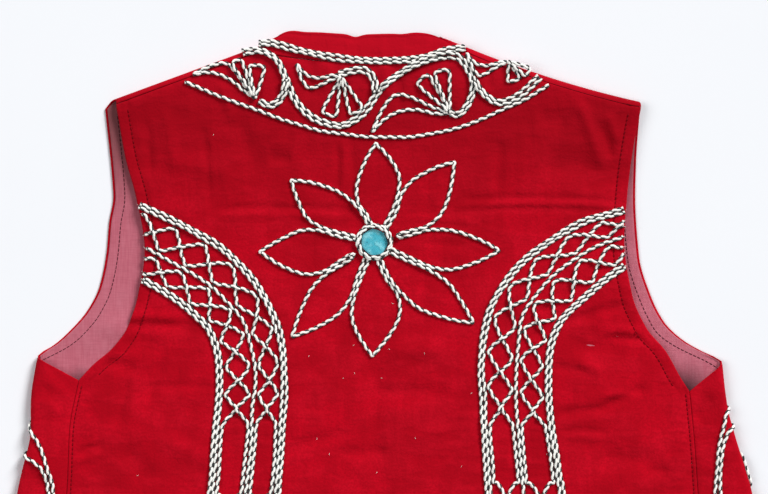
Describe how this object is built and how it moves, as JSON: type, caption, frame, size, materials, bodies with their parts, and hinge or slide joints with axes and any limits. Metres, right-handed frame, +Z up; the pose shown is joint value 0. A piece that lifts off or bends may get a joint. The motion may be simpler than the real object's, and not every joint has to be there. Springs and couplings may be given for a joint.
{
  "type": "embroidered folk vest",
  "caption": "Sleeveless stand-collar velvet vest laid flat, back up: fronts folded in at the sides under a back panel with wide armholes and a flared hem.",
  "frame": {"origin": "centre of the overall box, on the surface that the vest lies on", "axes": "+Z up from the surface, out of the back of the vest; +Y from the hem to the collar; +X to the wearer's right"},
  "size_m": [0.5836, 0.5404, 0.0088],
  "materials": {
    "red_velvet": "matt cotton velvet with a soft sheen",
    "mauve_cotton": "plain woven cotton",
    "turquoise_cloth": "mottled cloth"
  },
  "bodies": {
    "root": {"back": "red_velvet", "front_left": "red_velvet", "front_lining_left": "mauve_cotton", "front_right": "red_velvet", "front_lining_right": "mauve_cotton", "collar": "red_velvet", "flower_patch": "turquoise_cloth"}
  },
  "joints": []
}
